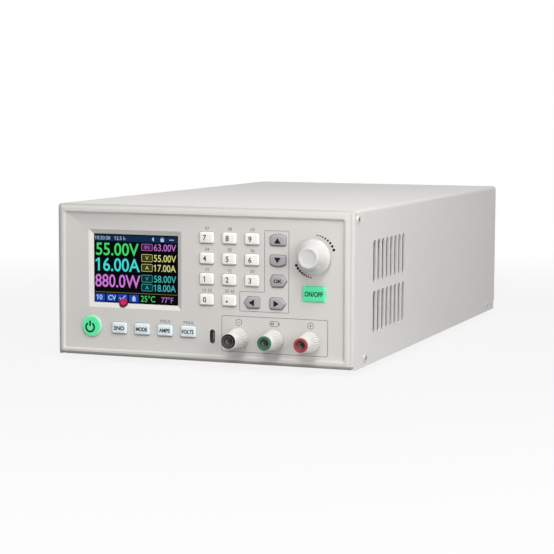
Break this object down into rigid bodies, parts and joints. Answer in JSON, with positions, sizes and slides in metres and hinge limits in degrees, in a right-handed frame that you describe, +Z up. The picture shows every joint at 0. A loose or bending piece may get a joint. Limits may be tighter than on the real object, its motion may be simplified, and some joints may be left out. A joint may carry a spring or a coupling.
{
  "type": "bench power supply",
  "caption": "Low, deep bench dc power supply with screen, keypad, turning knob, screw-down output posts, side vents, and a rear fan, mains inlet and rocker switch.",
  "frame": {"origin": "centre of the bounding box's underside, between the feet, on the bench top", "axes": "+X right seen from the front, +Y from the front panel to the back, +Z up"},
  "size_m": [0.1708, 0.318, 0.085],
  "materials": {
    "case_paint": "fine textured light warm grey paint",
    "panel_plastic": "satin moulded light grey",
    "screen": "glossy dark screen glass",
    "screen_metal": "bright pressed sheet",
    "tab_red": "thin glossy film",
    "key_plastic": "satin off-white",
    "arrow_plastic": "satin lilac grey",
    "function_plastic": "satin pale blue white",
    "lit_green": "translucent mint green, lit from behind",
    "knob_plastic": "soft gloss off-white",
    "cap_plastic": "soft gloss off-white",
    "collar_black": "glossy black",
    "collar_green": "glossy green",
    "collar_red": "glossy red",
    "nickel": "bright nickel plate",
    "zinc": "die-cast zinc",
    "aluminium": "plain extruded aluminium",
    "board_green": "green solder mask",
    "lead_rubber": "insulated lead",
    "foot_rubber": "matt black rubber",
    "black_plastic": "matt black",
    "rocker_black": "glossy black",
    "chrome_wire": "bright plated wire"
  },
  "bodies": {
    "case": {"front_panel": "panel_plastic", "screen_glass": "screen", "screen_frame": "screen_metal", "film_tab": "tab_red", "encoder_body": "zinc", "post_black_stud": "nickel", "post_green_stud": "nickel", "post_red_stud": "nickel", "post_nuts": "nickel", "usb_port": "nickel", "display_board": "board_green", "converter_board": "board_green", "heat_sink": "aluminium", "dc_leads": "lead_rubber", "ac_dc_supply": "aluminium", "bottom_chassis": "case_paint", "top_cover": "case_paint", "rear_panel": "case_paint", "rubber_feet": "foot_rubber", "cover_screws": "nickel", "rear_screws": "nickel", "ac_inlet": "black_plastic", "inlet_blades": "nickel", "rocker_housing": "black_plastic", "fan_frame": "black_plastic", "fan_guard": "chrome_wire"},
    "key_0": {"key_0": "key_plastic"},
    "key_dot": {"key_dot": "key_plastic"},
    "key_1": {"key_1": "key_plastic"},
    "key_2": {"key_2": "key_plastic"},
    "key_3": {"key_3": "key_plastic"},
    "key_4": {"key_4": "key_plastic"},
    "key_5": {"key_5": "key_plastic"},
    "key_6": {"key_6": "key_plastic"},
    "key_7": {"key_7": "key_plastic"},
    "key_8": {"key_8": "key_plastic"},
    "key_9": {"key_9": "key_plastic"},
    "key_up": {"key_up": "arrow_plastic"},
    "key_down": {"key_down": "arrow_plastic"},
    "key_enter": {"key_enter": "arrow_plastic"},
    "key_left": {"key_left": "arrow_plastic"},
    "key_right": {"key_right": "arrow_plastic"},
    "key_shift": {"key_shift": "function_plastic"},
    "key_menu": {"key_menu": "function_plastic"},
    "key_current": {"key_current": "function_plastic"},
    "key_voltage": {"key_voltage": "function_plastic"},
    "key_output": {"key_output": "lit_green"},
    "power_button": {"power_button": "lit_green"},
    "encoder_rotor": {"encoder_rotor": "black_plastic"},
    "knob": {"knob": "knob_plastic", "encoder_shaft": "aluminium"},
    "collar_black": {"post_black_collar": "collar_black"},
    "cap_black": {"post_black_cap": "cap_plastic"},
    "collar_green": {"post_green_collar": "collar_green"},
    "cap_green": {"post_green_cap": "cap_plastic"},
    "collar_red": {"post_red_collar": "collar_red"},
    "cap_red": {"post_red_cap": "cap_plastic"},
    "fuse_drawer": {"fuse_drawer": "black_plastic"},
    "power_rocker": {"power_rocker": "rocker_black"},
    "fan_rotor": {"fan_rotor": "black_plastic"}
  },
  "joints": [
    {"name": "key_0_press", "type": "slide", "parent": "case", "child": "key_0", "axis": [0, 1, 0], "range_m": [0, 0.0008], "stiffness_N_per_m": 800, "springref_m": -0.001},
    {"name": "key_dot_press", "type": "slide", "parent": "case", "child": "key_dot", "axis": [0, 1, 0], "range_m": [0, 0.0008], "stiffness_N_per_m": 800, "springref_m": -0.001},
    {"name": "key_1_press", "type": "slide", "parent": "case", "child": "key_1", "axis": [0, 1, 0], "range_m": [0, 0.0008], "stiffness_N_per_m": 800, "springref_m": -0.001},
    {"name": "key_2_press", "type": "slide", "parent": "case", "child": "key_2", "axis": [0, 1, 0], "range_m": [0, 0.0008], "stiffness_N_per_m": 800, "springref_m": -0.001},
    {"name": "key_3_press", "type": "slide", "parent": "case", "child": "key_3", "axis": [0, 1, 0], "range_m": [0, 0.0008], "stiffness_N_per_m": 800, "springref_m": -0.001},
    {"name": "key_4_press", "type": "slide", "parent": "case", "child": "key_4", "axis": [0, 1, 0], "range_m": [0, 0.0008], "stiffness_N_per_m": 800, "springref_m": -0.001},
    {"name": "key_5_press", "type": "slide", "parent": "case", "child": "key_5", "axis": [0, 1, 0], "range_m": [0, 0.0008], "stiffness_N_per_m": 800, "springref_m": -0.001},
    {"name": "key_6_press", "type": "slide", "parent": "case", "child": "key_6", "axis": [0, 1, 0], "range_m": [0, 0.0008], "stiffness_N_per_m": 800, "springref_m": -0.001},
    {"name": "key_7_press", "type": "slide", "parent": "case", "child": "key_7", "axis": [0, 1, 0], "range_m": [0, 0.0008], "stiffness_N_per_m": 800, "springref_m": -0.001},
    {"name": "key_8_press", "type": "slide", "parent": "case", "child": "key_8", "axis": [0, 1, 0], "range_m": [0, 0.0008], "stiffness_N_per_m": 800, "springref_m": -0.001},
    {"name": "key_9_press", "type": "slide", "parent": "case", "child": "key_9", "axis": [0, 1, 0], "range_m": [0, 0.0008], "stiffness_N_per_m": 800, "springref_m": -0.001},
    {"name": "key_up_press", "type": "slide", "parent": "case", "child": "key_up", "axis": [0, 1, 0], "range_m": [0, 0.0008], "stiffness_N_per_m": 800, "springref_m": -0.001},
    {"name": "key_down_press", "type": "slide", "parent": "case", "child": "key_down", "axis": [0, 1, 0], "range_m": [0, 0.0008], "stiffness_N_per_m": 800, "springref_m": -0.001},
    {"name": "key_enter_press", "type": "slide", "parent": "case", "child": "key_enter", "axis": [0, 1, 0], "range_m": [0, 0.0008], "stiffness_N_per_m": 800, "springref_m": -0.001},
    {"name": "key_left_press", "type": "slide", "parent": "case", "child": "key_left", "axis": [0, 1, 0], "range_m": [0, 0.0008], "stiffness_N_per_m": 800, "springref_m": -0.001},
    {"name": "key_right_press", "type": "slide", "parent": "case", "child": "key_right", "axis": [0, 1, 0], "range_m": [0, 0.0008], "stiffness_N_per_m": 800, "springref_m": -0.001},
    {"name": "key_shift_press", "type": "slide", "parent": "case", "child": "key_shift", "axis": [0, 1, 0], "range_m": [0, 0.0008], "stiffness_N_per_m": 800, "springref_m": -0.001},
    {"name": "key_menu_press", "type": "slide", "parent": "case", "child": "key_menu", "axis": [0, 1, 0], "range_m": [0, 0.0008], "stiffness_N_per_m": 800, "springref_m": -0.001},
    {"name": "key_current_press", "type": "slide", "parent": "case", "child": "key_current", "axis": [0, 1, 0], "range_m": [0, 0.0008], "stiffness_N_per_m": 800, "springref_m": -0.001},
    {"name": "key_voltage_press", "type": "slide", "parent": "case", "child": "key_voltage", "axis": [0, 1, 0], "range_m": [0, 0.0008], "stiffness_N_per_m": 800, "springref_m": -0.001},
    {"name": "key_output_press", "type": "slide", "parent": "case", "child": "key_output", "axis": [0, 1, 0], "range_m": [0, 0.0008], "stiffness_N_per_m": 800, "springref_m": -0.001},
    {"name": "power_button_press", "type": "slide", "parent": "case", "child": "power_button", "axis": [0, 1, 0], "range_m": [0, 0.0008], "stiffness_N_per_m": 800, "springref_m": -0.001},
    {"name": "knob_turn", "type": "hinge", "parent": "case", "child": "encoder_rotor", "pos_m": [0.0626, -0.1373, 0.0609], "axis": [0, 1, 0], "continuous": true},
    {"name": "knob_press", "type": "slide", "parent": "encoder_rotor", "child": "knob", "axis": [0, 1, 0], "range_m": [0, 0.0005], "stiffness_N_per_m": 3000, "springref_m": -0.0005},
    {"name": "post_black_lift", "type": "slide", "parent": "case", "child": "collar_black", "axis": [0, -1, 0], "range_m": [0, 0.0028]},
    {"name": "post_black_turn", "type": "hinge", "parent": "collar_black", "child": "cap_black", "pos_m": [0.0209, -0.1513, 0.0168], "axis": [0, -1, 0], "range_deg": [0, 1441]},
    {"name": "post_green_lift", "type": "slide", "parent": "case", "child": "collar_green", "axis": [0, -1, 0], "range_m": [0, 0.0028]},
    {"name": "post_green_turn", "type": "hinge", "parent": "collar_green", "child": "cap_green", "pos_m": [0.04075, -0.1513, 0.0168], "axis": [0, -1, 0], "range_deg": [0, 1441]},
    {"name": "post_red_lift", "type": "slide", "parent": "case", "child": "collar_red", "axis": [0, -1, 0], "range_m": [0, 0.0028]},
    {"name": "post_red_turn", "type": "hinge", "parent": "collar_red", "child": "cap_red", "pos_m": [0.0606, -0.1513, 0.0168], "axis": [0, -1, 0], "range_deg": [0, 1441]},
    {"name": "fuse_drawer_slide", "type": "slide", "parent": "case", "child": "fuse_drawer", "axis": [0, 1, 0], "range_m": [0, 0.014]},
    {"name": "rocker_swing", "type": "hinge", "parent": "case", "child": "power_rocker", "pos_m": [0.0065, 0.1522, 0.044], "axis": [-1, 0, 0], "range_deg": [0, 16]},
    {"name": "fan_spin", "type": "hinge", "parent": "case", "child": "fan_rotor", "pos_m": [-0.0385, 0.1472, 0.044], "axis": [0, 1, 0], "continuous": true}
  ],
  "couplings": [
    {"joint": "post_black_turn", "follows": "post_black_lift", "rad_per_m": 8976},
    {"joint": "post_green_turn", "follows": "post_green_lift", "rad_per_m": 8976},
    {"joint": "post_red_turn", "follows": "post_red_lift", "rad_per_m": 8976}
  ]
}
